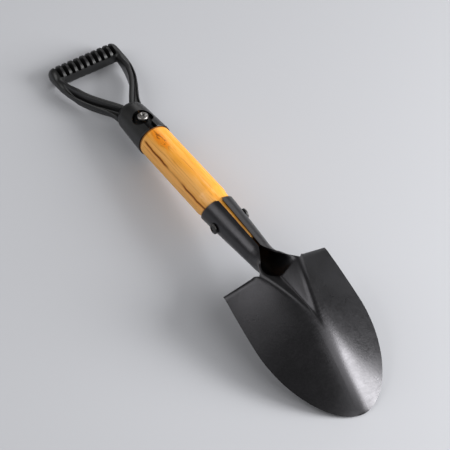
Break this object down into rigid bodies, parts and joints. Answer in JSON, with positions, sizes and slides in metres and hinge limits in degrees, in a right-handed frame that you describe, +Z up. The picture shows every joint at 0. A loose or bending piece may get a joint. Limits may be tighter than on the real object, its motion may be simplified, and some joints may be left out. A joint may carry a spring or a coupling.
{
  "type": "garden spade",
  "caption": "Short-handled hand spade: a dished, round-pointed steel blade with a rolled socket, a turned wooden shaft and a ribbed D-grip, held by screws.",
  "frame": {"origin": "on the floor under the middle of the tool's box, as it lies back up on its grip and on the point of its blade", "axes": "+X along the tool from the grip to the point of the blade, +Y across the blade, +Z up out of the blade's back"},
  "size_m": [0.487, 0.108, 0.0599],
  "materials": {
    "coated_steel": "satin black coating",
    "lacquered_wood": "clear yellow lacquer over straight grain",
    "black_plastic": "fine moulded matt",
    "plated_steel": "bright zinc plating",
    "black_screw": "black oxide"
  },
  "bodies": {
    "root": {"blade": "coated_steel", "shaft": "lacquered_wood", "d_handle": "black_plastic", "handle_screw": "plated_steel", "socket_screw_left": "black_screw", "socket_screw_right": "black_screw"}
  },
  "joints": []
}
